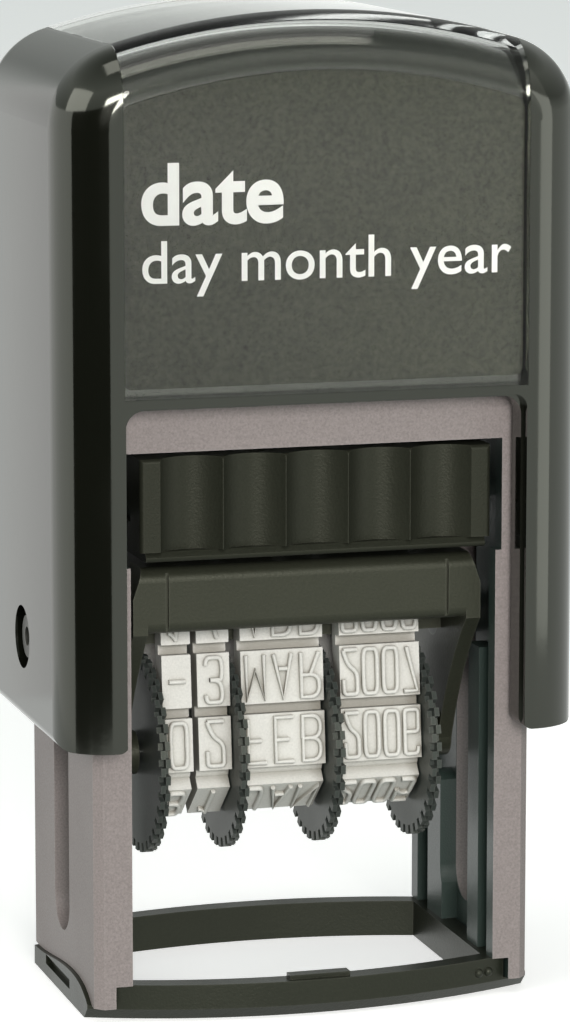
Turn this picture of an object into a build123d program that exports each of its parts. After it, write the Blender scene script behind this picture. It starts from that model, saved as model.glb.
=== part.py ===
from build123d import *
from math import atan2, cos, degrees, hypot, pi, radians, sin, sqrt
import os

# A self-inking rotary date stamp, in millimetres.
# The origin is at the bottom centre, X runs along the printed date, -Y is the front, +Z is up.

# Press cap: the black housing that is pushed down by hand
CAP_HALF_WIDTH = 21.3
CAP_HALF_DEPTH = 14.6
CAP_BOTTOM = 22.75
CAP_TOP = 80.0
TOP_ARCH_RADIUS = 57.0
SHOULDER_RADIUS = 6.5
LEG_CORNER_RADIUS = 0.9
FACE_ROUNDING = 4.3
CAVITY_HALF_WIDTH = 18.5
CAVITY_HALF_DEPTH = 11.6
CAVITY_TOP = 77.3
WINDOW_HALF_WIDTH = 16.3
WINDOW_TOP = 49.8
WINDOW_CORNER_RADIUS = 1.1
RIM_DEPTH = 0.9
RIM_HALF_WIDTH = 16.1
RIM_TOP = 49.55
RIM_CORNER_RADIUS = 1.5
SPRING_BOSS_RADIUS = 2.0
SPRING_BOSS_LENGTH = 6.0

# Clear index cover let into the cap, and the printed card behind it
COVER_HALF_WIDTH = 16.38
COVER_BOTTOM = 50.5
COVER_THICKNESS = 1.0
CHANNEL_DEPTH = 1.3
FIT_GAP = 0.04
LABEL_HALF_WIDTH = 16.2
LABEL_BOTTOM = 51.2
LABEL_TOP = 75.5
LABEL_THICKNESS = 0.2

# Grey base frame: two columns joined by a bridge that carries the spring
COLUMN_OUTSIDE = 18.05
COLUMN_PLATE_INSIDE = 16.4
COLUMN_INSIDE = 15.04
FRAME_HALF_DEPTH = 10.8
COLUMN_EDGE_CHAMFER = 0.7
CARTRIDGE_BAY_BOTTOM = 36.7
CARTRIDGE_BAY_INSIDE = 15.54
FLANGE_DEPTH = 1.6
BRIDGE_BOTTOM = 45.75
BRIDGE_TOP = 50.5
SPRING_SEAT = 47.5
SPRING_SEAT_RADIUS = 5.2
PIN_SLOT_MIDDLE = 0.55
PIN_SLOT_HALF_WIDTH = 2.5
PIN_SLOT_BOTTOM = 5.05
PIN_SLOT_TOP = 36.0

# Black base ring that the stamp stands on
RING_HALF_WIDTH = 18.4
RING_CORNER_DEPTH = 9.2
RING_FRONT = 12.9
RING_HEIGHT = 3.0
RING_WALL = 1.7
RING_OPENING_HALF_WIDTH = 14.6
RING_STEP = 16.26
RING_SIDE_FRONT = 1.17
RING_SIDE_CREST = 2.6
RING_SIDE_REAR = 1.55
RING_RECESS_DEPTH = 0.5

# Ink cartridge, which slides in from the front on two rails
CARTRIDGE_HALF_WIDTH = 14.4
CARTRIDGE_FRONT = 11.4
CARTRIDGE_BOTTOM = 37.15
CARTRIDGE_TOP = 45.35
CARTRIDGE_CORNER_RADIUS = 0.35
FLUTE_PITCH = 5.12
FLUTE_DEPTH = 1.2
FLUTE_RIDGE = 0.06
CARTRIDGE_LIP = 0.8
CARTRIDGE_LIP_HALF_WIDTH = 13.95
PAD_HALF_WIDTH = 12.9
PAD_HALF_DEPTH = 8.9
PAD_BOTTOM = 37.05
PAD_TOP = 42.5
RAIL_BOTTOM = 40.1
RAIL_TOP = 40.9
RAIL_INSIDE = 14.0

# Date unit: the yoke that carries the bands and turns over on its pivot pins
PIVOT_HEIGHT = 29.6
YOKE_HALF_WIDTH = 14.4
YOKE_TOP_HALF_WIDTH = 13.6
YOKE_INSIDE = 13.2
YOKE_HALF_DEPTH = 9.0
YOKE_TOP = 36.2
YOKE_SHOULDER = 33.8
YOKE_BAR_BOTTOM = 30.9
YOKE_SEAM = 11.6
COLLAR_INSIDE = 12.1
COLLAR_RADIUS = 1.8
YOKE_WALL = 1.2
PIN_RADIUS = 1.70
PIN_BORE_RADIUS = 0.78
PIN_END = 20.9
PIN_HOLE_CLEARANCE = 0.05
PIN_RECESS_RADIUS = 2.55
PIN_RECESS_FLOOR = 20.1

# Thumbwheels on a common steel axle
AXLE_HEIGHT = 19.55
AXLE_RADIUS = 0.8
WHEEL_RADIUS = 8.15
WHEEL_TOOTH_DEPTH = 0.75
WHEEL_TEETH = 36
WHEEL_CLEARANCE = 0.05
HUB_RADIUS = 2.6

# Date bands: moulded rubber loops with raised blocks, one row of the date on each block
BAND_THICKNESS = 0.9
BLOCK_THICKNESS = 1.0
BLOCK_HEIGHT = 4.3
ROW_PITCH = 5.14
LOOP_TOP = 35.3
LOOP_TOP_HALF_WIDTH = 2.9
LOOP_FOLD = 18.4
LOOP_FOLD_HALF_WIDTH = 4.6
LOOP_BOTTOM = 15.1
LOOP_BOTTOM_HALF_WIDTH = 0.66

# Return spring
SPRING_WIRE = 0.7
SPRING_RADIUS = 4.2
SPRING_COILS = 8

# Each wheel: its toothed disc from one X to another, and its band from one X to another
WHEELS = {
    "day_tens": ((-11.95, -11.15), (-11.0, -8.6)),
    "day_units": ((-5.3, -4.6), (-8.1, -5.4)),
    "month": ((2.6, 3.4), (-4.45, 2.45)),
    "year": ((10.7, 11.5), (3.85, 10.6)),
}


def block_between(x0, x1, y0, y1, z0, z1):
    """A plain block given by its limits."""
    centre = Pos((x0 + x1) / 2, (y0 + y1) / 2, (z0 + z1) / 2)
    return centre * Box(x1 - x0, y1 - y0, z1 - z0)


def rod_along_x(x0, x1, y, z, radius):
    """A round rod that lies along X."""
    centre = Pos((x0 + x1) / 2, y, z)
    return centre * Rot(0, 90, 0) * Cylinder(radius, x1 - x0)


def both_sides(solid):
    """The solid and its mirror image on the other side of the stamp."""
    return solid + mirror(solid, Plane.YZ)


def arched_block(half_width, half_depth, bottom, top, radius, shoulder, foot):
    """A block with an arched top, seen from the front, with rounded shoulders and feet."""
    side_top = top - radius + sqrt(radius**2 - half_width**2)
    with BuildPart() as block:
        with BuildSketch(Plane.XZ) as outline:
            with BuildLine():
                Line((-half_width, bottom), (half_width, bottom))
                Line((half_width, bottom), (half_width, side_top))
                ThreePointArc((half_width, side_top), (0, top), (-half_width, side_top))
                Line((-half_width, side_top), (-half_width, bottom))
            make_face()
            fillet(outline.vertices().group_by(Axis.Y)[-1], shoulder)
            if foot:
                fillet(outline.vertices().group_by(Axis.Y)[0], foot)
        extrude(amount=half_depth, both=True)
    return block.part


def cap_body(inset):
    """The cap's outside shape, or the same shape a little smaller all round."""
    body = arched_block(
        CAP_HALF_WIDTH - inset,
        CAP_HALF_DEPTH - inset,
        CAP_BOTTOM - 12,
        CAP_TOP - inset,
        TOP_ARCH_RADIUS - inset,
        SHOULDER_RADIUS - inset,
        0,
    )
    front = body.faces().sort_by(Axis.Y)[0]
    rear = body.faces().sort_by(Axis.Y)[-1]
    return fillet(front.edges() + rear.edges(), FACE_ROUNDING - inset)


def window_opening(half_width, top, corner, depth):
    """The window that runs up between the legs, seen from the front, with rounded top corners."""
    low = CAP_BOTTOM - 5
    with BuildPart() as window:
        with BuildSketch(Plane.XZ) as opening:
            with Locations((0, (low + top) / 2)):
                Rectangle(2 * half_width, top - low)
            fillet(opening.vertices().group_by(Axis.Y)[-1], corner)
        extrude(amount=depth, both=True)
    return window.part


def leg_silhouette():
    """All of the cap seen from the front, down to the rounded ends of its two legs."""
    with BuildPart() as silhouette:
        with BuildSketch(Plane.XZ) as outline:
            with BuildLine():
                Polyline(
                    (-CAP_HALF_WIDTH, CAP_BOTTOM),
                    (-RIM_HALF_WIDTH, CAP_BOTTOM),
                    (-RIM_HALF_WIDTH, CAP_BOTTOM + 5),
                    (RIM_HALF_WIDTH, CAP_BOTTOM + 5),
                    (RIM_HALF_WIDTH, CAP_BOTTOM),
                    (CAP_HALF_WIDTH, CAP_BOTTOM),
                    (CAP_HALF_WIDTH, CAP_TOP + 5),
                    (-CAP_HALF_WIDTH, CAP_TOP + 5),
                    close=True,
                )
            make_face()
            fillet(outline.vertices().group_by(Axis.Y)[0], LEG_CORNER_RADIUS)
        extrude(amount=CAP_HALF_DEPTH, both=True)
    return silhouette.part


def make_cap_shell():
    shell = cap_body(0) & leg_silhouette()
    shell -= arched_block(
        CAVITY_HALF_WIDTH,
        CAVITY_HALF_DEPTH,
        CAP_BOTTOM - 5,
        CAVITY_TOP,
        TOP_ARCH_RADIUS - 2.7,
        3.0,
        0,
    )
    shell -= window_opening(RIM_HALF_WIDTH, RIM_TOP, RIM_CORNER_RADIUS, CAP_HALF_DEPTH + 5)
    outer_window = window_opening(
        WINDOW_HALF_WIDTH, WINDOW_TOP, WINDOW_CORNER_RADIUS, CAP_HALF_DEPTH + 5
    )
    behind_rim = CAP_HALF_DEPTH - RIM_DEPTH
    shell -= outer_window - block_between(-20, 20, -behind_rim, behind_rim, 0, 60)
    channel = block_between(
        -COVER_HALF_WIDTH, COVER_HALF_WIDTH, -20, 20, COVER_BOTTOM, CAP_TOP + 5
    )
    shell -= channel - cap_body(CHANNEL_DEPTH)
    for side in (-1, 1):
        inner, outer = sorted((side * 18, side * 22))
        shell -= rod_along_x(inner, outer, 0, PIVOT_HEIGHT, PIN_RADIUS + PIN_HOLE_CLEARANCE)
        inner, outer = sorted((side * PIN_RECESS_FLOOR, side * 22))
        shell -= rod_along_x(inner, outer, 0, PIVOT_HEIGHT, PIN_RECESS_RADIUS)
    boss_length = SPRING_BOSS_LENGTH + 0.5
    shell += Pos(0, 0, CAVITY_TOP + 0.5 - boss_length / 2) * Cylinder(
        SPRING_BOSS_RADIUS, boss_length
    )
    return shell


def make_index_cover():
    half = COVER_HALF_WIDTH - FIT_GAP
    strip = block_between(-half, half, -20, 20, COVER_BOTTOM + FIT_GAP, CAP_TOP + 5)
    return (cap_body(0) & strip) - cap_body(COVER_THICKNESS)


def make_label_card():
    back = CAP_HALF_DEPTH - COVER_THICKNESS - 0.04
    card = arched_block(
        LABEL_HALF_WIDTH,
        LABEL_THICKNESS / 2,
        LABEL_BOTTOM,
        LABEL_TOP,
        TOP_ARCH_RADIUS - FACE_ROUNDING - 0.1,
        1.0,
        0.6,
    )
    return Pos(0, -(back - LABEL_THICKNESS / 2), 0) * card


def below_wave(x0, x1, clearance):
    """Everything below the wavy line where the columns stand on the ring's side walls."""
    with BuildPart() as below:
        with BuildSketch(Plane.YZ.offset(x0)):
            with BuildLine():
                crest = Spline(
                    (-9.4, RING_SIDE_FRONT + clearance),
                    (-6.8, 2.3 + clearance),
                    (-3.8, RING_SIDE_CREST + clearance),
                    (2.5, 2.15 + clearance),
                    (9.9, RING_SIDE_REAR + clearance),
                )
                Polyline(crest @ 1, (14, RING_SIDE_REAR + clearance), (14, -1), (-14, -1))
                Polyline((-14, -1), (-14, RING_SIDE_FRONT + clearance), crest @ 0)
            make_face()
        extrude(amount=x1 - x0)
    return below.part


def make_column():
    """The right-hand column: an outer plate with flanges and guide ribs on its inner side."""
    plate = block_between(
        COLUMN_PLATE_INSIDE,
        COLUMN_OUTSIDE,
        -FRAME_HALF_DEPTH,
        FRAME_HALF_DEPTH,
        RING_SIDE_FRONT,
        BRIDGE_TOP,
    )
    corners = plate.edges().filter_by(Axis.Z).group_by(Axis.X)[-1]
    column = chamfer(corners, COLUMN_EDGE_CHAMFER)
    for side in (-1, 1):
        low, high = sorted((side * FRAME_HALF_DEPTH, side * (FRAME_HALF_DEPTH - FLANGE_DEPTH)))
        column += block_between(
            COLUMN_INSIDE, COLUMN_PLATE_INSIDE, low, high, RING_HEIGHT, BRIDGE_TOP
        )
    # guide rib beside the front flange, and a shorter one with a rounded head behind the slot
    column += block_between(COLUMN_INSIDE, COLUMN_PLATE_INSIDE, -6.9, -4.2, RING_HEIGHT, 28.0)
    column += block_between(COLUMN_INSIDE, COLUMN_PLATE_INSIDE, 2.6, 6.4, RING_HEIGHT, 13.6)
    column += rod_along_x(COLUMN_INSIDE, COLUMN_PLATE_INSIDE, 4.5, 13.6, 1.9)
    # bay for the ink cartridge, and the rail it slides on
    column -= block_between(14, CARTRIDGE_BAY_INSIDE, -12, 12, CARTRIDGE_BAY_BOTTOM, BRIDGE_BOTTOM)
    column += block_between(RAIL_INSIDE, COLUMN_PLATE_INSIDE, -5.0, 10.2, RAIL_BOTTOM, RAIL_TOP)
    # slot that the pivot pin travels along
    low = PIN_SLOT_BOTTOM + PIN_SLOT_HALF_WIDTH
    front = PIN_SLOT_MIDDLE - PIN_SLOT_HALF_WIDTH
    rear = PIN_SLOT_MIDDLE + PIN_SLOT_HALF_WIDTH
    column -= block_between(14, 20, front, rear, low, PIN_SLOT_TOP)
    column -= rod_along_x(14, 20, PIN_SLOT_MIDDLE, low, PIN_SLOT_HALF_WIDTH)
    # the foot, which follows the wavy top of the ring's side wall
    column -= block_between(14, RING_STEP, -12, 12, 0, RING_HEIGHT)
    column -= below_wave(RING_STEP - 1, 20, FIT_GAP)
    return column


def make_base_frame():
    frame = both_sides(make_column())
    frame += block_between(
        -COLUMN_PLATE_INSIDE,
        COLUMN_PLATE_INSIDE,
        -FRAME_HALF_DEPTH,
        FRAME_HALF_DEPTH,
        BRIDGE_BOTTOM,
        BRIDGE_TOP,
    )
    pocket_half_depth = FRAME_HALF_DEPTH - 1.5
    frame -= both_sides(
        block_between(
            6.6, 14.6, -pocket_half_depth, pocket_half_depth, BRIDGE_BOTTOM + 1.6, BRIDGE_TOP + 1
        )
    )
    seat_depth = BRIDGE_TOP + 1 - SPRING_SEAT
    frame -= Pos(0, 0, SPRING_SEAT + seat_depth / 2) * Cylinder(SPRING_SEAT_RADIUS, seat_depth)
    return frame


def ring_outline(inset, half_width, height):
    """The ring's plan: straight sides with bowed front and rear edges."""
    corner = RING_CORNER_DEPTH
    bow = RING_FRONT - inset
    if inset:
        corner = RING_CORNER_DEPTH - inset + (RING_HALF_WIDTH - half_width) * 0.38
    with BuildPart() as solid:
        with BuildSketch():
            with BuildLine():
                ThreePointArc((-half_width, -corner), (0, -bow), (half_width, -corner))
                Line((half_width, -corner), (half_width, corner))
                ThreePointArc((half_width, corner), (0, bow), (-half_width, corner))
                Line((-half_width, corner), (-half_width, -corner))
            make_face()
        extrude(amount=height)
    return solid.part


def make_base_ring():
    ring = ring_outline(0, RING_HALF_WIDTH, RING_HEIGHT)
    low_front = ring.faces().sort_by(Axis.Z)[0].edges().sort_by(Axis.Y)[0]
    ring = chamfer(low_front, 1.0)
    ring -= ring_outline(RING_WALL, RING_OPENING_HALF_WIDTH, RING_HEIGHT)
    step = block_between(RING_STEP - FIT_GAP, 20, -14, 14, 0.5, RING_HEIGHT + 1)
    ring -= both_sides(step - below_wave(RING_STEP - 1, 21, 0))
    recess = block_between(RING_HALF_WIDTH - RING_RECESS_DEPTH, 20, -3.2, 5.1, 1.0, 1.8)
    ring -= both_sides(recess)
    # finger tab in the middle of the front bar
    ring += block_between(-2.5, 2.5, -12.4, -11.3, RING_HEIGHT - 0.5, RING_HEIGHT + 0.35)
    # two small cavity marks at the right-hand end of the bowed front
    bow = RING_FRONT - RING_CORNER_DEPTH
    bow_radius = (RING_HALF_WIDTH**2 + bow**2) / (2 * bow)
    for x in (13.85, 14.75):
        ring += Pos(x, -RING_FRONT + x**2 / (2 * bow_radius) + 0.1, 1.9) * Sphere(0.4)
    return ring


def make_ink_cartridge_case():
    lip_top = CARTRIDGE_BOTTOM + CARTRIDGE_LIP
    case = block_between(
        -CARTRIDGE_HALF_WIDTH,
        CARTRIDGE_HALF_WIDTH,
        -CARTRIDGE_FRONT,
        FRAME_HALF_DEPTH,
        lip_top,
        CARTRIDGE_TOP,
    )
    front = case.faces().sort_by(Axis.Y)[0].edges()
    case = fillet(front - front.group_by(Axis.Z)[0], CARTRIDGE_CORNER_RADIUS)
    lip = block_between(
        -CARTRIDGE_LIP_HALF_WIDTH,
        CARTRIDGE_LIP_HALF_WIDTH,
        -CARTRIDGE_FRONT,
        FRAME_HALF_DEPTH,
        CARTRIDGE_BOTTOM,
        lip_top,
    )
    lip_bottom = lip.faces().sort_by(Axis.Y)[0].edges().group_by(Axis.Z)[0]
    lip = fillet(lip_bottom, CARTRIDGE_CORNER_RADIUS)
    lip_ridge = lip.faces().sort_by(Axis.Y)[0].edges().group_by(Axis.Z)[-1]
    case += chamfer(lip_ridge, CARTRIDGE_LIP - CARTRIDGE_CORNER_RADIUS - 0.05)
    case -= block_between(
        -PAD_HALF_WIDTH, PAD_HALF_WIDTH, -PAD_HALF_DEPTH, PAD_HALF_DEPTH, 30, PAD_TOP
    )
    chord = FLUTE_PITCH - FLUTE_RIDGE
    radius = chord**2 / (8 * FLUTE_DEPTH) + FLUTE_DEPTH / 2
    flute_height = CARTRIDGE_TOP + 1 - lip_top
    for n in range(-2, 3):
        centre = Pos(
            n * FLUTE_PITCH,
            -CARTRIDGE_FRONT - radius + FLUTE_DEPTH,
            lip_top + flute_height / 2,
        )
        case -= centre * Cylinder(radius, flute_height)
    groove = block_between(
        RAIL_INSIDE - 0.1, 15, -8.2, 12, RAIL_BOTTOM - 0.15, RAIL_TOP + 0.15
    )
    return case - both_sides(groove)


def make_ink_pad():
    return block_between(
        -PAD_HALF_WIDTH, PAD_HALF_WIDTH, -PAD_HALF_DEPTH, PAD_HALF_DEPTH, PAD_BOTTOM, PAD_TOP
    )


def make_yoke_arm():
    """The right-hand arm, which narrows down to the wheel axle."""
    tip = 1.8
    with BuildPart() as arm:
        with BuildSketch(Plane.YZ.offset(YOKE_INSIDE)):
            with BuildLine():
                Line((-YOKE_HALF_DEPTH, YOKE_BAR_BOTTOM), (-YOKE_HALF_DEPTH, YOKE_SHOULDER))
                Line((-YOKE_HALF_DEPTH, YOKE_SHOULDER), (YOKE_HALF_DEPTH, YOKE_SHOULDER))
                Line((YOKE_HALF_DEPTH, YOKE_SHOULDER), (YOKE_HALF_DEPTH, YOKE_BAR_BOTTOM))
                ThreePointArc(
                    (YOKE_HALF_DEPTH, YOKE_BAR_BOTTOM), (5.3, 26.4), (tip, AXLE_HEIGHT)
                )
                ThreePointArc(
                    (tip, AXLE_HEIGHT), (0, AXLE_HEIGHT - tip), (-tip, AXLE_HEIGHT)
                )
                ThreePointArc(
                    (-tip, AXLE_HEIGHT), (-5.3, 26.4), (-YOKE_HALF_DEPTH, YOKE_BAR_BOTTOM)
                )
            make_face()
        extrude(amount=YOKE_HALF_WIDTH - YOKE_INSIDE)
    return arm.part


def make_yoke():
    with BuildPart() as head:
        with BuildSketch(Plane.XZ):
            with BuildLine():
                Polyline(
                    (-YOKE_HALF_WIDTH, YOKE_BAR_BOTTOM),
                    (YOKE_HALF_WIDTH, YOKE_BAR_BOTTOM),
                    (YOKE_HALF_WIDTH, YOKE_SHOULDER),
                    (YOKE_TOP_HALF_WIDTH, YOKE_TOP),
                    (-YOKE_TOP_HALF_WIDTH, YOKE_TOP),
                    (-YOKE_HALF_WIDTH, YOKE_SHOULDER),
                    close=True,
                )
            make_face()
        extrude(amount=YOKE_HALF_DEPTH, both=True)
    long_edges = head.part.edges().filter_by(Axis.X)
    yoke = fillet(long_edges.group_by(Axis.Z)[-1], 1.1)
    yoke = fillet(yoke.edges().filter_by(Axis.X).group_by(Axis.Z)[0], 0.9)
    inside = YOKE_HALF_DEPTH - YOKE_WALL
    yoke -= block_between(-YOKE_INSIDE, YOKE_INSIDE, -inside, inside, 25, YOKE_TOP - 1.1)
    yoke -= block_between(-12.2, 12.2, -4.8, 4.8, 25, YOKE_TOP + 1)
    yoke += both_sides(make_yoke_arm())
    for side in (-1, 1):
        seam = side * YOKE_SEAM
        yoke -= block_between(seam - 0.1, seam + 0.1, -10, 0.25 - YOKE_HALF_DEPTH, 30, 37)
    # collars that keep the outer wheels away from the arms
    yoke += both_sides(rod_along_x(COLLAR_INSIDE, YOKE_INSIDE, 0, AXLE_HEIGHT, COLLAR_RADIUS))
    yoke -= rod_along_x(-16, 16, 0, PIVOT_HEIGHT, PIN_RADIUS)
    yoke -= rod_along_x(-16, 16, 0, AXLE_HEIGHT, AXLE_RADIUS)
    return yoke


def make_pivot_pin(side):
    inner, outer = sorted((side * YOKE_INSIDE, side * PIN_END))
    pin = rod_along_x(inner, outer, 0, PIVOT_HEIGHT, PIN_RADIUS)
    inner, outer = sorted((side * YOKE_HALF_WIDTH, side * (YOKE_HALF_WIDTH + 0.5)))
    pin += rod_along_x(inner, outer, 0, PIVOT_HEIGHT, PIN_RADIUS + 0.6)
    inner, outer = sorted((side * (YOKE_INSIDE + 1), side * (PIN_END + 1)))
    return pin - rod_along_x(inner, outer, 0, PIVOT_HEIGHT, PIN_BORE_RADIUS)


def make_platen():
    """The nose inside the bands, which backs the row of the date being printed."""
    top = LOOP_TOP - BAND_THICKNESS
    with BuildPart() as platen:
        with BuildSketch(Plane.YZ.offset(-YOKE_INSIDE)):
            with BuildLine():
                Polyline((-1.9, top), (1.9, top), (2.4, 28.9), (-2.4, 28.9), close=True)
            make_face()
        extrude(amount=2 * YOKE_INSIDE)
    return platen.part


def loop_face(inset):
    """The closed path of a date band, seen along the axle, offset inwards by the inset."""
    points = [
        (LOOP_TOP_HALF_WIDTH, LOOP_TOP),
        (LOOP_FOLD_HALF_WIDTH, LOOP_FOLD),
        (LOOP_BOTTOM_HALF_WIDTH, LOOP_BOTTOM),
        (-LOOP_BOTTOM_HALF_WIDTH, LOOP_BOTTOM),
        (-LOOP_FOLD_HALF_WIDTH, LOOP_FOLD),
        (-LOOP_TOP_HALF_WIDTH, LOOP_TOP),
    ]
    with BuildSketch() as face:
        with BuildLine():
            Polyline(*points, close=True)
        make_face()
        if inset:
            offset(amount=-inset, kind=Kind.INTERSECTION)
        else:
            fillet(face.vertices(), 0.9)
    return face.sketch


def row_places():
    """Where each row of the date sits on the loop: (y, z, turn about X in degrees)."""
    places = [(0.0, LOOP_TOP, 0.0)]
    runs = [
        ((LOOP_FOLD_HALF_WIDTH, LOOP_FOLD), (LOOP_TOP_HALF_WIDTH, LOOP_TOP), 3),
        ((LOOP_FOLD_HALF_WIDTH, LOOP_FOLD), (LOOP_BOTTOM_HALF_WIDTH, LOOP_BOTTOM), 1),
    ]
    for (y0, z0), (y1, z1), rows in runs:
        length = hypot(y1 - y0, z1 - z0)
        for n in range(rows):
            along = ROW_PITCH * (n + 0.5) / length
            y = y0 + (y1 - y0) * along
            z = z0 + (z1 - z0) * along
            turn = turn_to_run(y1 - y0, z1 - z0)
            places += [(y, z, turn), (-y, z, -turn)]
    return places


def turn_to_run(dy, dz):
    """The turn that lays a level block against a run of the loop on its +Y side."""
    outward_z = -dy if dz > 0 else dy
    return degrees(atan2(outward_z, abs(dz))) - 90


def make_band(x0, x1):
    section = loop_face(0) - loop_face(BAND_THICKNESS)
    for y, z, turn in row_places():
        out = radians(turn + 90)
        centre = Pos(
            y + cos(out) * BLOCK_THICKNESS / 2,
            z + sin(out) * BLOCK_THICKNESS / 2,
        )
        section += centre * Rot(0, 0, turn) * Rectangle(BLOCK_HEIGHT, BLOCK_THICKNESS + 0.1)
    return extrude(Plane.YZ.offset(x0) * section, amount=x1 - x0)


def make_wheel(disc, band):
    """A toothed thumb disc with the hub that reaches through its band."""
    disc_low, disc_high = disc
    hub_low, hub_high = sorted((band[0] - 0.1, band[1] + 0.1))
    hub_low = min(hub_low, disc_high)
    hub_high = max(hub_high, disc_low)
    root = WHEEL_RADIUS - WHEEL_TOOTH_DEPTH
    width = pi * WHEEL_RADIUS / WHEEL_TEETH
    with BuildSketch() as outline:
        Circle(root)
        with PolarLocations(root - 0.2 + (WHEEL_TOOTH_DEPTH + 0.2) / 2, WHEEL_TEETH):
            Rectangle(WHEEL_TOOTH_DEPTH + 0.2, width)
    # two rows of teeth side by side, the second turned by half a tooth
    half = (disc_high - disc_low) / 2
    wheel = extrude(Plane.YZ.offset(disc_low) * outline.sketch, amount=half)
    second_row = Rot(0, 0, 180 / WHEEL_TEETH) * outline.sketch
    wheel += extrude(Plane.YZ.offset(disc_low + half) * second_row, amount=half)
    wheel = Pos(0, 0, AXLE_HEIGHT) * wheel
    wheel += rod_along_x(hub_low, hub_high, 0, AXLE_HEIGHT, HUB_RADIUS)
    return wheel - rod_along_x(-16, 16, 0, AXLE_HEIGHT, AXLE_RADIUS + WHEEL_CLEARANCE)


def make_return_spring():
    low = SPRING_SEAT + SPRING_WIRE / 2 + 0.02
    high = CAVITY_TOP - 0.25 - SPRING_WIRE / 2
    path = Helix((high - low) / SPRING_COILS, high - low, SPRING_RADIUS)
    profile = Plane(path @ 0, z_dir=path % 0) * Circle(SPRING_WIRE / 2)
    return Pos(0, 0, low) * sweep(profile, path, is_frenet=True)


parts = {
    "cap_shell": make_cap_shell(),
    "index_cover": make_index_cover(),
    "label_card": make_label_card(),
    "base_frame": make_base_frame(),
    "base_ring": make_base_ring(),
    "return_spring": make_return_spring(),
    "ink_cartridge_case": make_ink_cartridge_case(),
    "ink_pad": make_ink_pad(),
    "dater_yoke": make_yoke(),
    "pivot_pin_left": make_pivot_pin(-1),
    "pivot_pin_right": make_pivot_pin(1),
    "platen": make_platen(),
    "wheel_axle": rod_along_x(-14.4, 14.4, 0, AXLE_HEIGHT, AXLE_RADIUS),
}
for name, (disc, band) in WHEELS.items():
    parts[name + "_wheel"] = make_wheel(disc, band)
    parts[name + "_band"] = make_band(*band)

os.makedirs("parts", exist_ok=True)
for name, solid in parts.items():
    export_step(solid, f"parts/{name}.step")
    print(name, len(solid.solids()), [round(v, 2) for v in solid.bounding_box().size])
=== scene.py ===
# %% [markdown]
# # A self-inking date stamp
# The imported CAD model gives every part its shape, its place and the body it moves with.
# This lesson gives those parts their finishes, adds the moulded characters of the date
# bands, the printing on the label card, and a small product stage around the stamp.
# Everything is in metres: X runs along the date, -Y is the front and +Z is up.

# %% Load the frame
from math import cos, hypot, pi, radians, sin

import bmesh
import bpy
from mathutils import Matrix, Vector


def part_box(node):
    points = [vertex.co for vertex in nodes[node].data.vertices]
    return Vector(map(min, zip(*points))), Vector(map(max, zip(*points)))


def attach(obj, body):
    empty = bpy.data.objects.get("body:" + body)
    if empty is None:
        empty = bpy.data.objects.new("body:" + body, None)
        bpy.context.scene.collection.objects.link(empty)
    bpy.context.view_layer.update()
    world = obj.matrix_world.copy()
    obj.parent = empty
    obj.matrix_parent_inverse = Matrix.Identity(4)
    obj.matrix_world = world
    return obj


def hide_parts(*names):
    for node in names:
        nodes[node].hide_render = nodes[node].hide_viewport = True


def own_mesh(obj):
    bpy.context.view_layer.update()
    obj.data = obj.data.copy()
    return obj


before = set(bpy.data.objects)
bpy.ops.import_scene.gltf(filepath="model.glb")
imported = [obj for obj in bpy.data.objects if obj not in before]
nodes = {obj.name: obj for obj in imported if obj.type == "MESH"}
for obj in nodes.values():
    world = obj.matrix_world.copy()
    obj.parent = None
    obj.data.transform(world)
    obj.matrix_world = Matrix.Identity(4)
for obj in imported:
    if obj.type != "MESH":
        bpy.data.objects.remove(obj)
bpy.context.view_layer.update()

MM = 0.001
print("CAD nodes:", len(nodes))

# %% [markdown]
# ## Small tools for shader nodes
# Every material below is a short list of shader nodes. A few helpers keep the lists
# readable: they add a node and feed its sockets by name, do arithmetic, mix, or start a
# material with a Principled BSDF, because that one shader covers plastic, rubber, steel
# and felt.

# %% Node helpers
def feed(tree, value, socket):
    """Gives a socket a plain value, or links it to another node's output."""
    if isinstance(value, bpy.types.NodeSocket):
        tree.links.new(value, socket)
    else:
        socket.default_value = value


def add_node(tree, kind, **sockets):
    """Adds a shader node and feeds its inputs by name, with _ for a space."""
    node = tree.nodes.new(kind)
    for name, value in sockets.items():
        feed(tree, value, node.inputs[name.replace("_", " ")])
    return node


def place_group(tree, group, **sockets):
    """Puts a node group into a material, and feeds its inputs in the same way."""
    node = tree.nodes.new("ShaderNodeGroup")
    node.node_tree = group
    for name, value in sockets.items():
        feed(tree, value, node.inputs[name.replace("_", " ")])
    return node


def math_node(tree, operation, *values):
    """One step of arithmetic on sockets or numbers."""
    node = tree.nodes.new("ShaderNodeMath")
    node.operation = operation
    for socket, value in zip(node.inputs, values):
        feed(tree, value, socket)
    return node.outputs[0]


def remap(tree, value, to, given=(0.0, 1.0)):
    """Moves a value from the given range to another one, and holds it at the ends."""
    node = add_node(
        tree, "ShaderNodeMapRange", Value=value,
        From_Min=given[0], From_Max=given[1], To_Min=to[0], To_Max=to[1],
    )
    return node.outputs["Result"]


# where a Mix node keeps its two inputs and its output, for each kind of value
MIX_PLACES = {"FLOAT": (2, 3, 0), "RGBA": (6, 7, 2)}


def mix_node(tree, kind, factor, first, second):
    """A mix of two numbers or two colours."""
    node = tree.nodes.new("ShaderNodeMix")
    node.data_type = kind
    first_place, second_place, result = MIX_PLACES[kind]
    feed(tree, factor, node.inputs["Factor"])
    feed(tree, first, node.inputs[first_place])
    feed(tree, second, node.inputs[second_place])
    return node.outputs[result]


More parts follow.
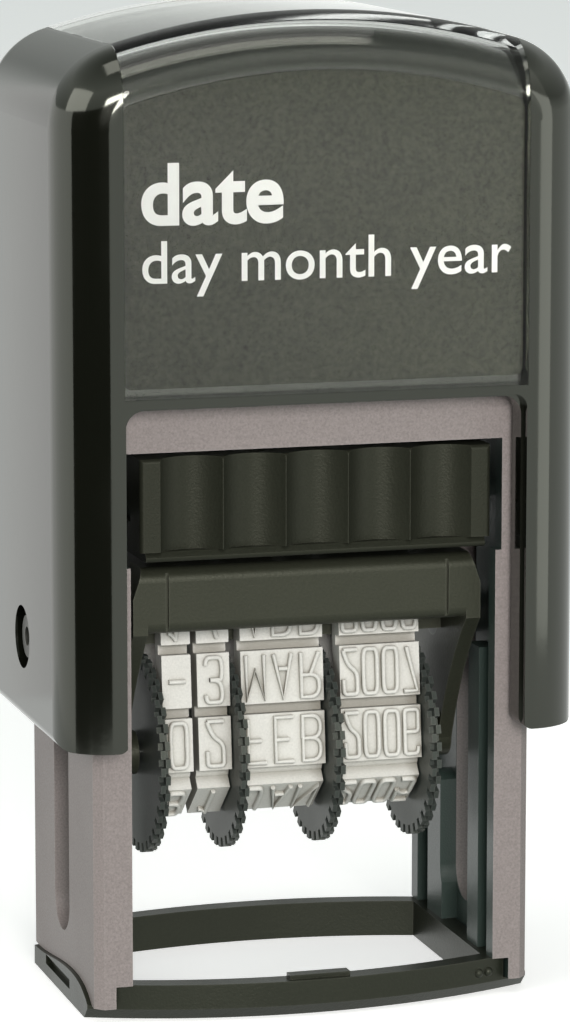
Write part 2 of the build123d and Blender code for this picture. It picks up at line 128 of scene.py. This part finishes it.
def bump(tree, shader, height, strength, depth_mm):
    """Raises fine relief on a material from a height between 0 and 1."""
    relief = add_node(
        tree, "ShaderNodeBump", Height=height, Strength=strength, Distance=depth_mm * MM
    )
    feed(tree, relief.outputs["Normal"], shader.inputs["Normal"])


def start_material(name, **sockets):
    """A new material with its Principled shader, some of whose inputs may be fed at once."""
    material = bpy.data.materials.new(name)
    material.use_nodes = True
    tree = material.node_tree
    tree.nodes.clear()
    shader = add_node(tree, "ShaderNodeBsdfPrincipled", **sockets)
    output = tree.nodes.new("ShaderNodeOutputMaterial")
    tree.links.new(shader.outputs["BSDF"], output.inputs["Surface"])
    return material, tree, shader


def start_group(name, inputs, outputs):
    """A shader node group with named sockets, given as {name: (kind, default)}."""
    group = bpy.data.node_groups.new(name, "ShaderNodeTree")
    for label, (kind, default) in inputs.items():
        socket = group.interface.new_socket(label, in_out="INPUT", socket_type=kind)
        socket.default_value = default
    for label, kind in outputs.items():
        group.interface.new_socket(label, in_out="OUTPUT", socket_type=kind)
    start = group.nodes.new("NodeGroupInput")
    end = group.nodes.new("NodeGroupOutput")
    return group, start.outputs, end.inputs


FLOAT = "NodeSocketFloat"
COLOUR = "NodeSocketColor"
print("helpers ready")

# %% [markdown]
# ## Effects that several finishes share
# **Moulded grain.** Plastic that leaves a spark-eroded mould has a fine, even grain, which
# breaks up its highlight. It could be a bump alone, but the grain also catches dust and
# light, so the group gives a height for the Bump node, and a slightly mottled colour.
# It works in object space, so the grain has one real size on every part.

# %% Moulded grain
CLOUDS_PER_METRE = 90.0


def build_grain_group():
    group, given, made = start_group(
        "Moulded grain",
        {
            "Colour": (COLOUR, (0.1, 0.1, 0.1, 1)),
            "Grain size mm": (FLOAT, 0.2),
            "Mottle": (FLOAT, 0.1),
        },
        {"Colour": COLOUR, "Height": FLOAT, "Cloud": FLOAT},
    )
    place = add_node(group, "ShaderNodeTexCoord").outputs["Object"]
    grains_per_metre = math_node(group, "DIVIDE", 1 / MM, given["Grain size mm"])
    fine = add_node(
        group, "ShaderNodeTexNoise", Vector=place, Scale=grains_per_metre, Detail=3.0,
        Roughness=0.6,
    ).outputs["Fac"]
    cloud = add_node(
        group, "ShaderNodeTexNoise", Vector=place, Scale=CLOUDS_PER_METRE, Detail=4.0
    ).outputs["Fac"]
    spread = math_node(group, "SUBTRACT", fine, 0.5)
    swing = math_node(group, "MULTIPLY_ADD", spread, given["Mottle"], 1.0)
    tint = add_node(group, "ShaderNodeHueSaturation", Color=given["Colour"], Value=swing)
    feed(group, tint.outputs["Color"], made["Colour"])
    feed(group, fine, made["Height"])
    feed(group, cloud, made["Cloud"])
    return group


grain_group = build_grain_group()
print(grain_group.name, "has", len(grain_group.nodes), "nodes")

# %% [markdown]
# **Edge wear.** Handled plastic is polished and slightly lighter along its sharp edges.
# Where a surface bends, a normal softened by the Bevel node differs from the real one, and
# that difference is the mask. It needs no extra geometry, and follows every edge.

# %% Edge wear
SCUFFS_PER_METRE = 420.0


def build_edge_group():
    group, given, made = start_group(
        "Edge wear",
        {"Width mm": (FLOAT, 0.25), "Strength": (FLOAT, 1.0)},
        {"Mask": FLOAT},
    )
    soft = add_node(
        group, "ShaderNodeBevel", Radius=math_node(group, "MULTIPLY", given["Width mm"], MM)
    )
    soft.samples = 4
    true_normal = group.nodes.new("ShaderNodeNewGeometry").outputs["Normal"]
    compare = group.nodes.new("ShaderNodeVectorMath")
    compare.operation = "DOT_PRODUCT"
    feed(group, soft.outputs["Normal"], compare.inputs[0])
    feed(group, true_normal, compare.inputs[1])
    bend = remap(group, compare.outputs["Value"], (0.0, 1.0), given=(0.995, 0.85))
    place = add_node(group, "ShaderNodeTexCoord").outputs["Object"]
    scuff = add_node(
        group, "ShaderNodeTexNoise", Vector=place, Scale=SCUFFS_PER_METRE, Detail=5.0
    ).outputs["Fac"]
    worn = math_node(group, "MULTIPLY", bend, scuff)
    mask = math_node(group, "MULTIPLY", worn, given["Strength"])
    mask.node.use_clamp = True
    feed(group, mask, made["Mask"])
    return group


edge_group = build_edge_group()
print(edge_group.name, "has", len(edge_group.nodes), "nodes")

# %% [markdown]
# ## One recipe for the plastics
# All the plastics on the stamp are moulded ABS or polypropylene: they differ in colour,
# gloss, grain and wear, not in kind. So one function builds them all, and each material is
# one call with its own values. Roughness and bump both come from the grain group.

# %% Plastic recipe
WORN_EDGE_MM = 0.22
GRAIN_DEPTH_MM = 0.05
CLOUD_RANGE = (0.3, 0.7)


def plastic(name, colour, rough, rough_swing, grain_mm, grain_bump, mottle, wear, worn_colour,
            shine=0.5, tint=(1, 1, 1)):
    """One moulded plastic: its gloss drifts by rough_swing, and wear lightens its edges."""
    material, tree, shader = start_material(
        name, Specular_IOR_Level=shine, Specular_Tint=(*tint, 1)
    )
    grain = place_group(
        tree, grain_group, Colour=(*colour, 1), Grain_size_mm=grain_mm, Mottle=mottle
    ).outputs
    edge = place_group(tree, edge_group, Width_mm=WORN_EDGE_MM, Strength=wear).outputs["Mask"]
    worn = mix_node(tree, "RGBA", edge, grain["Colour"], (*worn_colour, 1))
    feed(tree, worn, shader.inputs["Base Color"])
    gloss = remap(
        tree, grain["Cloud"], (rough - rough_swing, rough + rough_swing), given=CLOUD_RANGE
    )
    feed(tree, gloss, shader.inputs["Roughness"])
    bump(tree, shader, grain["Height"], grain_bump, GRAIN_DEPTH_MM)
    return material


OLIVE = (1.0, 1.02, 0.84)
cap_black = plastic(
    "Cap gloss black", (0.0060, 0.0066, 0.0046), 0.09, 0.02, 0.9, 0.03, 0.10, 0.5,
    (0.02, 0.02, 0.016), shine=0.8, tint=(0.98, 1.02, 0.90),
)
ring_black = plastic(
    "Ring black", (0.014, 0.016, 0.011), 0.34, 0.06, 0.22, 0.45, 0.6, 0.9,
    (0.06, 0.06, 0.05), shine=0.3, tint=OLIVE,
)
cartridge_black = plastic(
    "Cartridge black", (0.018, 0.0195, 0.0135), 0.42, 0.06, 0.2, 0.5, 0.7, 0.15,
    (0.10, 0.10, 0.08), shine=0.2, tint=OLIVE,
)
yoke_black = plastic(
    "Yoke black", (0.027, 0.029, 0.020), 0.38, 0.06, 0.25, 0.4, 0.6, 0.6,
    (0.11, 0.11, 0.09), shine=0.3, tint=OLIVE,
)
wheel_black = plastic(
    "Wheel black", (0.044, 0.052, 0.048), 0.4, 0.06, 0.2, 0.35, 0.4, 1.4,
    (0.08, 0.085, 0.08), shine=0.3, tint=OLIVE,
)
pin_grey = plastic(
    "Pin dark grey", (0.055, 0.056, 0.050), 0.4, 0.05, 0.2, 0.2, 0.2, 1.2,
    (0.18, 0.18, 0.16),
)
frame_grey = plastic(
    "Frame warm grey", (0.250, 0.215, 0.209), 0.5, 0.05, 0.16, 0.6, 0.9, 0.6,
    (0.40, 0.36, 0.35),
)
print("plastics ready")

# %% [markdown]
# ** Painted shade inside the frame.** Between the frame's side plates the plastic is smooth and
# lies in shade, and its colour there is painted darker and bluer than the grained outside, as
# painted shade. It is one moulding, so it stays one material: a mask of where the surface is,
# and which way it faces, picks the painted shade and a lower roughness there.

# %% Painted shade inside the frame
PLATE_INSIDE_MM = 16.45
FRONT_FACE_MM = 10.7
FACES_INWARD = -0.005


def darken_inside(material, colour, rough):
    tree = material.node_tree
    shader = tree.nodes["Principled BSDF"]
    place = add_node(tree, "ShaderNodeTexCoord").outputs
    spot = add_node(tree, "ShaderNodeSeparateXYZ", Vector=place["Object"]).outputs
    facing = add_node(tree, "ShaderNodeSeparateXYZ", Vector=place["Normal"]).outputs["X"]
    outward = math_node(tree, "MULTIPLY", spot["X"], facing)
    inward = math_node(tree, "LESS_THAN", outward, FACES_INWARD)
    aside = math_node(tree, "ABSOLUTE", spot["X"])
    ahead = math_node(tree, "ABSOLUTE", spot["Y"])
    between_plates = math_node(tree, "LESS_THAN", aside, PLATE_INSIDE_MM * MM)
    behind_front = math_node(tree, "LESS_THAN", ahead, FRONT_FACE_MM * MM)
    inside = math_node(tree, "MULTIPLY", between_plates, behind_front)
    # the mask is 1 on the frame's shaded inside, which gets the painted shade colour and a
    # smoother roughness
    mask = math_node(tree, "MAXIMUM", inward, inside)
    for kind, name, value in (
        ("RGBA", "Base Color", (*colour, 1)),
        ("FLOAT", "Roughness", rough),
    ):
        outside = shader.inputs[name].links[0].from_socket
        feed(tree, mix_node(tree, kind, mask, outside, value), shader.inputs[name])


# painted shade: a darker, bluer colour for the shaded inside of the frame, with a smoother
# roughness
darken_inside(frame_grey, (0.034, 0.052, 0.045), 0.32)
print("frame has two finishes")

# %% [markdown]
# ## Clear cover, label card, rubber, felt and steel
# The index cover is crystal-clear polystyrene: a smooth glassy shell. The card behind it is
# a matte print, the bands are a pale chalky rubber, the pad is inked felt, and the axle and
# spring are bright drawn steel, whose fine lines run along the wire.

# %% Clear cover
def clear_plastic():
    """Clear plastic. A low index keeps the card behind it in place, and the coat shines."""
    material, tree, shader = start_material(
        "Clear cover",
        Base_Color=(0.97, 0.975, 0.965, 1),
        Transmission_Weight=1.0,
        IOR=1.08,
        Coat_Weight=0.4,
        Coat_Roughness=0.03,
        Coat_IOR=1.45,
    )
    cloud = place_group(tree, grain_group, Grain_size_mm=6.0, Mottle=0.0).outputs["Cloud"]
    feed(tree, remap(tree, cloud, (0.02, 0.07)), shader.inputs["Roughness"])
    return material


clear_cover = clear_plastic()
print(clear_cover.name, "ready")

# %% Label card
label_black = plastic(
    "Label card", (0.034, 0.037, 0.025), 0.62, 0.05, 0.42, 0.7, 2.2, 0.0,
    (0.1, 0.1, 0.1), shine=0.15,
)
label_white = plastic(
    "Label white ink", (0.86, 0.86, 0.84), 0.6, 0.04, 0.3, 0.2, 0.05, 0.0,
    (0.9, 0.9, 0.9),
)
print(label_black.name, "and", label_white.name, "ready")

# %% Band rubber
def band_rubber_material():
    """Pale rubber, painted darker as painted shade in the corners that light hardly reaches."""
    material, tree, shader = start_material("Band rubber", Roughness=0.7, Sheen_Weight=0.08)
    grain = place_group(
        tree, grain_group, Colour=(0.80, 0.79, 0.75, 1), Grain_size_mm=0.16, Mottle=0.35
    ).outputs
    # painted shade: an AO node darkens the rubber towards a dark brown in the corners and crevices
    # round the strokes
    shade = add_node(
        tree, "ShaderNodeAmbientOcclusion", Color=grain["Colour"], Distance=1.3 * MM
    )
    shade.samples = 6
    unshaded = remap(tree, shade.outputs["AO"], (0.0, 1.0), given=(0.25, 0.9))
    colour = mix_node(tree, "RGBA", unshaded, (0.22, 0.205, 0.165, 1), grain["Colour"])
    feed(tree, colour, shader.inputs["Base Color"])
    bump(tree, shader, grain["Height"], 0.4, 0.04)
    return material


band_rubber = band_rubber_material()
print(band_rubber.name, "ready")

# %% Inked felt
def felt_material():
    """Felt soaked in blue-black ink."""
    material, tree, shader = start_material("Inked felt", Roughness=0.75, Sheen_Weight=0.3)
    grain = place_group(
        tree, grain_group, Colour=(0.02, 0.02, 0.045, 1), Grain_size_mm=0.12, Mottle=1.2
    ).outputs
    feed(tree, grain["Colour"], shader.inputs["Base Color"])
    bump(tree, shader, grain["Height"], 0.9, 0.15)
    return material


ink_felt = felt_material()
print(ink_felt.name, "ready")

# %% Drawn steel
DRAW_LINES_PER_METRE = 4000.0


def steel_material(name, along):
    """Bright steel with fine draw lines: the noise is stretched along one axis."""
    material, tree, shader = start_material(name, Metallic=1.0)
    place = add_node(tree, "ShaderNodeTexCoord").outputs["Object"]
    stretch = add_node(tree, "ShaderNodeMapping", Vector=place, Scale=along)
    lines = add_node(
        tree, "ShaderNodeTexNoise", Vector=stretch.outputs["Vector"],
        Scale=DRAW_LINES_PER_METRE, Detail=2.0,
    ).outputs["Fac"]
    feed(tree, remap(tree, lines, (0.22, 0.42)), shader.inputs["Roughness"])
    tone = add_node(tree, "ShaderNodeValToRGB", Fac=lines)
    tone.color_ramp.elements[0].color = (0.46, 0.46, 0.45, 1)
    tone.color_ramp.elements[1].color = (0.66, 0.65, 0.63, 1)
    feed(tree, tone.outputs["Color"], shader.inputs["Base Color"])
    return material


axle_steel = steel_material("Axle steel", (0.03, 1, 1))
spring_steel = steel_material("Spring steel", (1, 1, 1))
print("finishes:", len(bpy.data.materials))

# %% [markdown]
# ## Put the finishes on the CAD parts
# A CAD part keeps its mesh and its place, and only its material slots change. The packed
# mesh already carries smooth normals, so nothing else is needed.

# %% Finish the CAD parts
FINISHES = {
    "cap_shell": cap_black,
    "index_cover": clear_cover,
    "label_card": label_black,
    "base_frame": frame_grey,
    "base_ring": ring_black,
    "return_spring": spring_steel,
    "ink_cartridge_case": cartridge_black,
    "ink_pad": ink_felt,
    "dater_yoke": yoke_black,
    "pivot_pin_left": pin_grey,
    "pivot_pin_right": pin_grey,
    "platen": yoke_black,
    "wheel_axle": axle_steel,
}
BANDS = ("day_tens", "day_units", "month", "year")
for band in BANDS:
    FINISHES[band + "_wheel"] = wheel_black
    FINISHES[band + "_band"] = band_rubber

for name, finish in FINISHES.items():
    part = nodes[name]
    part.data.materials.clear()
    part.data.materials.append(finish)
print("finished", len(FINISHES), "parts")

# %% [markdown]
# ## Characters on the date bands
# Each band is moulded with raised strokes of even width and rounded ends, like an engraved
# alphabet. A text object would give flat letters of varying weight, so each character is a
# few curves instead: corner points in a small grid, smoothed where the stroke is round.
# The curve's own bevel makes the raised stroke. Characters are turned top to bottom,
# because a printing face is the mirror image of what it prints.

# %% The engraved alphabet
# A stroke is a row of grid points, x from 0 to 4 and z from 0 to 6, as pairs of digits.
# A leading ~ makes it a smooth curve, and a leading o makes it a closed smooth curve.
GLYPHS = {
    "0": ["o03 06 26 46 43 40 20 00"],
    "1": ["~05 15 26", "20 26"],
    "2": ["~04 05 06 26 46 45 43 12 00", "00 40"],
    "3": ["~05 06 26 46 44 33 13", "~13 33 43 40 20 00 01"],
    "4": ["36 01 41", "30 33"],
    "5": ["46 06 03", "~03 14 44 43 41 40 10 00"],
    "6": ["~45 46 26 06 05 01 00 20 40 41 42 43 23 03"],
    "7": ["06 46 10"],
    "8": ["o23 03 06 26 46 43", "o23 03 00 20 40 43"],
    "9": ["~01 00 20 40 41 45 46 26 06 04 03 23 43"],
    "-": ["03 43"],
    "A": ["00 26 40", "12 32"],
    "B": ["23 03 06 26", "03 00 20", "~26 46 43 23", "~23 43 40 20"],
    "E": ["46 06 00 40", "03 33"],
    "F": ["46 06 00", "03 33"],
    "G": ["~45 46 26 06 05 01 00 20 40 41 42", "42 22"],
    "J": ["46 43", "~43 40 20 00 01"],
    "L": ["06 00 40"],
    "M": ["00 06 22 46 40"],
    "N": ["00 06 40 46"],
    "P": ["00 06 26", "~26 46 43 23", "23 03"],
    "R": ["00 06 26", "~26 46 43 23", "03 23 40"],
    "S": ["~45 46 26 06 04 13 33 42 40 20 00 01"],
    "U": ["06 03", "~03 00 20 40 43", "43 46"],
    "Y": ["06 23 46", "23 20"],
}
print("alphabet of", len(GLYPHS), "characters")

# %% Where the rows sit on a band
# The loop's own sizes in millimetres, as the CAD bands have them, seen along the axle.
LOOP_TOP = (2.9, 35.3)
LOOP_FOLD = (4.6, 18.4)
LOOP_BOTTOM = (0.66, 15.1)
ROW_PITCH = 5.14
BLOCK_TOP = 1.0


def run_rows(start, end, count):
    """Centres of the rows along one straight run, with the run's direction, as (y, z, dy, dz)."""
    length = hypot(end[0] - start[0], end[1] - start[1])
    dy, dz = (end[0] - start[0]) / length, (end[1] - start[1]) / length
    rows = []
    for n in range(count):
        along = ROW_PITCH * (n + 0.5)
        rows.append((start[0] + dy * along, start[1] + dz * along, dy, dz))
    return rows


def loop_rows():
    """The nine rows from the front fold, over the top and down the back."""
    facet = run_rows(LOOP_FOLD, LOOP_BOTTOM, 1)[0]
    side = run_rows(LOOP_FOLD, LOOP_TOP, 3)
    rows = [(-facet[0], facet[1], facet[2], -facet[3])]
    rows += [(-y, z, -dy, dz) for y, z, dy, dz in side]
    rows.append((0.0, LOOP_TOP[1], 1.0, 0.0))
    rows += [(y, z, -dy, -dz) for y, z, dy, dz in reversed(side)]
    rows.append(facet)
    return rows


ROWS = loop_rows()
print("rows on each band:", len(ROWS))

# %% Raise the characters
STROKE = 0.18
STROKE_RISE = 0.2
LETTER_RELIEF = 0.4
LETTER_HEIGHT = 3.6


def add_stroke(curve, stroke, left, width):
    """One stroke of a character, in the row's own plane, turned top to bottom."""
    closed = stroke.startswith("o")
    smooth = closed or stroke.startswith("~")
    points = stroke.lstrip("o~").split()
    spline = curve.splines.new("NURBS" if smooth else "POLY")
    spline.points.add(len(points) - 1)
    for point, pair in zip(spline.points, points):
        x = left + int(pair[0]) / 4 * width
        z = (0.5 - int(pair[1]) / 6) * LETTER_HEIGHT
        point.co = (x * MM, z * MM, 0, 1)
    if smooth:
        spline.order_u = 3
        spline.use_endpoint_u = not closed
        spline.use_cyclic_u = closed


def row_mesh(text, x0, x1, letter_width, row):
    """The raised text of one row, as a mesh in its place on the band."""
    curve = bpy.data.curves.new("row", "CURVE")
    curve.dimensions = "3D"
    curve.fill_mode = "FULL"
    curve.extrude = STROKE_RISE * MM
    curve.bevel_depth = STROKE * MM
    curve.bevel_resolution = 2
    curve.resolution_u = 5
    curve.use_fill_caps = True
    pitch = (x1 - x0) / len(text)
    for n, letter in enumerate(text):
        left = x0 + pitch * (n + 0.5) - letter_width / 2
        for stroke in GLYPHS.get(letter, []):
            add_stroke(curve, stroke, left, letter_width)
    holder = bpy.data.objects.new("row", curve)
    mesh = bpy.data.meshes.new_from_object(holder)
    y, z, dy, dz = row
    along = Vector((0, dy, dz))
    outward = Vector((1, 0, 0)).cross(along)
    centre = Vector((0, y, z)) + outward * (
        BLOCK_TOP + LETTER_RELIEF - STROKE - STROKE_RISE
    )
    place = Matrix((
        (1, along.x, outward.x, centre.x * MM),
        (0, along.y, outward.y, centre.y * MM),
        (0, along.z, outward.z, centre.z * MM),
        (0, 0, 0, 1),
    ))
    mesh.transform(place)
    bpy.data.objects.remove(holder)
    bpy.data.curves.remove(curve)
    return mesh


def raise_characters(band, rows_of_text, letter_width):
    """All the raised characters of one band, joined into one piece that rides on the date unit."""
    low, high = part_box(band + "_band")
    joined = bmesh.new()
    for text, row in zip(rows_of_text, ROWS):
        if text.strip():
            mesh = row_mesh(text, low.x / MM, high.x / MM, letter_width, row)
            joined.from_mesh(mesh)
            bpy.data.meshes.remove(mesh)
    bmesh.ops.recalc_face_normals(joined, faces=joined.faces)
    mesh = bpy.data.meshes.new(band + "_characters")
    joined.to_mesh(mesh)
    joined.free()
    mesh.shade_smooth()
    mesh.set_sharp_from_angle(angle=radians(50))
    piece = bpy.data.objects.new(band + "_characters", mesh)
    bpy.context.scene.collection.objects.link(piece)
    mesh.materials.append(band_rubber)
    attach(piece, "dater")
    return piece


MONTHS = ["JAN", "FEB", "MAR", "APR", "MAY", "JUN", "JUL", "AUG", "SEP"]
YEARS = [str(year) for year in range(2005, 2014)]
characters = [
    raise_characters("day_tens", list("30-123012"), 1.35),
    raise_characters("day_units", list("123456789"), 1.35),
    raise_characters("month", MONTHS, 1.5),
    raise_characters("year", YEARS, 1.15),
]
for piece in characters:
    print(piece.name, len(piece.data.polygons), "faces")

# %% [markdown]
# ## The return spring
# A coil spring gets shorter when the cap is pressed, and a rigid CAD solid can't. Cutting it
# into rings that ride apart would show gaps, so the spring is one swept helix instead. Its
# height and radius come from the CAD spring it stands for.

# %% Return spring
SPRING_COILS = 8
SPRING_WIRE = 0.35 * MM
STEPS_PER_COIL = 32
WIRE_SIDES = 12


def coil_mesh(radius, bottom, rise):
    """A round wire swept along a helix, closed at both ends."""
    wire = bmesh.new()
    rings = []
    steps = SPRING_COILS * STEPS_PER_COIL
    climb = rise / (SPRING_COILS * 2 * pi * radius)
    for step in range(steps + 1):
        turn = 2 * pi * step / STEPS_PER_COIL
        outward = Vector((cos(turn), sin(turn), 0))
        ahead = Vector((-sin(turn), cos(turn), climb)).normalized()
        centre = outward * radius + Vector((0, 0, bottom + rise * step / steps))
        sides = [2 * pi * side / WIRE_SIDES for side in range(WIRE_SIDES)]
        rings.append([
            wire.verts.new(
                centre + SPRING_WIRE * (outward * cos(side) + outward.cross(ahead) * sin(side))
            )
            for side in sides
        ])
    for ring, after in zip(rings, rings[1:]):
        for n in range(WIRE_SIDES):
            wire.faces.new((ring[n - 1], ring[n], after[n], after[n - 1]))
    wire.faces.new(rings[0])
    wire.faces.new(rings[-1])
    bmesh.ops.recalc_face_normals(wire, faces=wire.faces)
    mesh = bpy.data.meshes.new("coil_spring")
    wire.to_mesh(mesh)
    wire.free()
    return mesh


def coil_spring():
    """The spring between bridge and cap, as one swept helix that stays with the frame."""
    low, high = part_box("return_spring")
    rest_height = high.z - low.z
    mesh = coil_mesh(
        (high.x - low.x) / 2 - SPRING_WIRE, low.z + SPRING_WIRE, rest_height - 2 * SPRING_WIRE
    )
    mesh.shade_smooth()
    mesh.set_sharp_from_angle(angle=radians(50))
    mesh.materials.append(spring_steel)
    spring = bpy.data.objects.new("coil_spring", mesh)
    bpy.context.scene.collection.objects.link(spring)
    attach(spring, "frame")
    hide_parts("return_spring")
    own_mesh(spring)
    return spring


spring = coil_spring()
print(spring.name, len(spring.data.polygons), "faces")

# %% [markdown]
# ## Printing on the label card
# The card behind the clear cover says in plain words what the stamp prints. Text objects
# are right here, because print is flat: they lie in the thin gap between card and cover.

# %% Printed words
PRINT_THICKNESS_MM = 0.004
PRINT_GAP_MM = 0.012


def print_words(name, words, size_mm, left_mm, base_mm, thicken_mm):
    """Flat printed words just in front of the card, moving with the cap."""
    text = bpy.data.curves.new(name, "FONT")
    text.body = words
    text.size = size_mm * MM
    text.offset = thicken_mm * MM
    text.extrude = PRINT_THICKNESS_MM * MM
    piece = bpy.data.objects.new(name, text)
    card_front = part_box("label_card")[0].y
    piece.matrix_world = Matrix.Translation(
        (left_mm * MM, card_front - PRINT_GAP_MM * MM, base_mm * MM)
    ) @ Matrix.Rotation(radians(90), 4, "X")
    bpy.context.scene.collection.objects.link(piece)
    text.materials.append(label_white)
    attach(piece, "cap")
    return piece


PRINT_LEFT_MM = -14.9
print_words("label_heading", "date", 6.6, PRINT_LEFT_MM, 64.0, 0.16)
print_words("label_order", "day month year", 4.75, PRINT_LEFT_MM, 59.4, 0.02)
print("label printed")

# %% [markdown]
# ## The stage
# A pale seamless floor and large soft lights, as for a catalogue picture. Black gloss
# plastic shows what stands round it more than its own colour, so what it mirrors is chosen:
# a room that is bright near the horizon and dim overhead, grey boards that draw the side of
# the cap, and a black one that leaves the dark line along its rounded corner.

# %% Floor and surroundings
FLOOR_REACH = 3.0


def build_floor():
    """A pale floor that only the camera sees, so it adds no light of its own to the stamp."""
    mesh = bpy.data.meshes.new("floor")
    corners = [(-1, -1), (1, -1), (1, 1), (-1, 1)]
    mesh.from_pydata(
        [(x * FLOOR_REACH, y * FLOOR_REACH, 0) for x, y in corners], [], [(0, 1, 2, 3)]
    )
    floor = bpy.data.objects.new("floor", mesh)
    bpy.context.scene.collection.objects.link(floor)
    material, tree, shader = start_material(
        "Studio floor", Roughness=0.9, Emission_Color=(1, 1, 1, 1), Emission_Strength=0.5
    )
    cloud = add_node(tree, "ShaderNodeTexNoise", Scale=6.0)
    tone = remap(tree, cloud.outputs["Fac"], (0.93, 0.95))
    feed(tree, tone, shader.inputs["Base Color"])
    mesh.materials.append(material)
    floor.visible_diffuse = False
    floor.visible_glossy = False


build_floor()
# How the room looks in the gloss, from straight down (0) over the horizon (0.5) to
# straight up (1), as (place, red, green, blue).
ROOM = (
    (0.0, 0.70, 0.72, 0.70),
    (0.40, 1.00, 1.02, 1.00),
    (0.52, 0.95, 0.98, 0.95),
    (0.60, 0.42, 0.44, 0.42),
    (0.78, 0.75, 0.78, 0.75),
    (1.0, 0.20, 0.22, 0.205),
)
ROOM_LIGHT = (0.13, 0.17, 0.155, 1)


def build_world():
    """White behind the stamp, the room's shades in its gloss, and a dim even light elsewhere."""
    world = bpy.data.worlds.new("Studio")
    bpy.context.scene.world = world
    world.use_nodes = True
    sky = world.node_tree
    backdrop = sky.nodes["Background"]
    backdrop.inputs["Color"].default_value = (1, 1, 1, 1)
    direction = add_node(sky, "ShaderNodeTexCoord").outputs["Generated"]
    height = add_node(sky, "ShaderNodeSeparateXYZ", Vector=direction).outputs["Z"]
    rise = remap(sky, height, (0.0, 1.0), given=(-1.0, 1.0))
    shades = add_node(sky, "ShaderNodeValToRGB", Fac=rise)
    stops = shades.color_ramp.elements
    for place, *_ in ROOM[1:-1]:
        stops.new(place)
    for stop, (_, *colour) in zip(stops, ROOM):
        stop.color = (*colour, 1)
    seen = sky.nodes.new("ShaderNodeLightPath").outputs
    shown = mix_node(sky, "RGBA", seen["Is Glossy Ray"], ROOM_LIGHT, shades.outputs["Color"])
    room = add_node(sky, "ShaderNodeBackground", Color=shown)
    choose = add_node(sky, "ShaderNodeMixShader", Fac=seen["Is Camera Ray"])
    feed(sky, room.outputs["Background"], choose.inputs[1])
    feed(sky, backdrop.outputs["Background"], choose.inputs[2])
    feed(sky, choose.outputs["Shader"], sky.nodes["World Output"].inputs["Surface"])


build_world()
print("stage set")

# %% Soft lights
WARM = (1.0, 0.97, 0.94)


def soft_light(name, place, target_height, width, height, power):
    """A warm area light aimed at the stamp's axis, with sizes in metres and power in watts."""
    light = bpy.data.lights.new(name, "AREA")
    light.shape = "RECTANGLE"
    light.size = width
    light.size_y = height
    light.energy = power
    light.color = WARM
    lamp = bpy.data.objects.new(name, light)
    lamp.location = place
    direction = Vector((0, 0, target_height)) - Vector(place)
    lamp.rotation_euler = direction.to_track_quat("-Z", "Y").to_euler()
    bpy.context.scene.collection.objects.link(lamp)


soft_light("key_panel", (-0.10, -0.88, 0.26), 0.04, 0.36, 0.3, 6.9)
soft_light("fill_panel", (0.35, -0.72, 0.42), 0.04, 0.8, 0.8, 0.6)
soft_light("left_panel", (-0.66, -0.16, 0.30), 0.045, 0.6, 0.5, 2.3)
soft_light("top_panel", (0.0, -0.12, 0.70), 0.08, 0.5, 0.32, 1.1)
print("lights:", len(bpy.data.lights))

# %% Boards that the gloss mirrors
BOARD_FOOT = 0.001
BOARD_TOP = 0.10


def build_board(name, foot, glow):
    """A low upright board along a foot line. Only its mirror image in the gloss shows.

    Its glow goes from the first value, at the board's left end, to the second.
    """
    mesh = bpy.data.meshes.new(name)
    points = [(x, y, height) for height in (BOARD_FOOT, BOARD_TOP) for x, y in foot]
    count = len(foot)
    sides = [(n, n + 1, n + 1 + count, n + count) for n in range(count - 1)]
    mesh.from_pydata(points, [], sides)
    board = bpy.data.objects.new(name, mesh)
    bpy.context.scene.collection.objects.link(board)
    material, tree, shader = start_material(
        name,
        Base_Color=(0.003, 0.003, 0.003, 1),
        Roughness=1.0,
        Specular_IOR_Level=0.0,
        Emission_Color=(1, 1, 0.98, 1),
    )
    across = add_node(tree, "ShaderNodeTexCoord").outputs["Generated"]
    along = add_node(tree, "ShaderNodeSeparateXYZ", Vector=across).outputs["X"]
    feed(tree, remap(tree, along, glow), shader.inputs["Emission Strength"])
    mesh.materials.append(material)
    board.visible_camera = False
    board.visible_shadow = False
    board.visible_diffuse = False


LEFT_CORNER = (-0.118, -0.03)
BACK_CORNER = (-0.0555, 0.1065)
build_board("side_fade_board", [BACK_CORNER, (-0.0450, 0.1097)], (0.55, 1.0))
build_board(
    "side_grey_board", [LEFT_CORNER, (-0.125, 0.0), (-0.115, 0.088), BACK_CORNER], (1.3, 1.0)
)
build_board(
    "black_flag",
    [LEFT_CORNER, (-0.088, -0.085), (-0.05, -0.112), (-0.0167, -0.1224)],
    (0.0, 0.0),
)
build_board("right_strip_board", [(0.0894, -0.145), (0.137, -0.105)], (2.4, 2.4))
print("boards ready")

# %% [markdown]
# ## The camera
# A long lens from a little to the left and a little above, far enough away that the
# upright edges stay nearly parallel.

# %% Camera
CAMERA_PLACE = Vector((-0.10405, -0.36166, 0.10269))
CAMERA_VIEW = Vector((0.27415, 0.94701, -0.16737))

lens = bpy.data.cameras.new("camera")
lens.lens = 165.68
lens.sensor_width = 36.0
lens.clip_start = 0.01
camera = bpy.data.objects.new("camera", lens)
camera.location = CAMERA_PLACE
camera.rotation_euler = CAMERA_VIEW.to_track_quat("-Z", "Y").to_euler()
bpy.context.scene.collection.objects.link(camera)
bpy.context.scene.camera = camera
bpy.context.scene.view_settings.view_transform = "Standard"
print("camera at", tuple(round(v, 3) for v in camera.location))
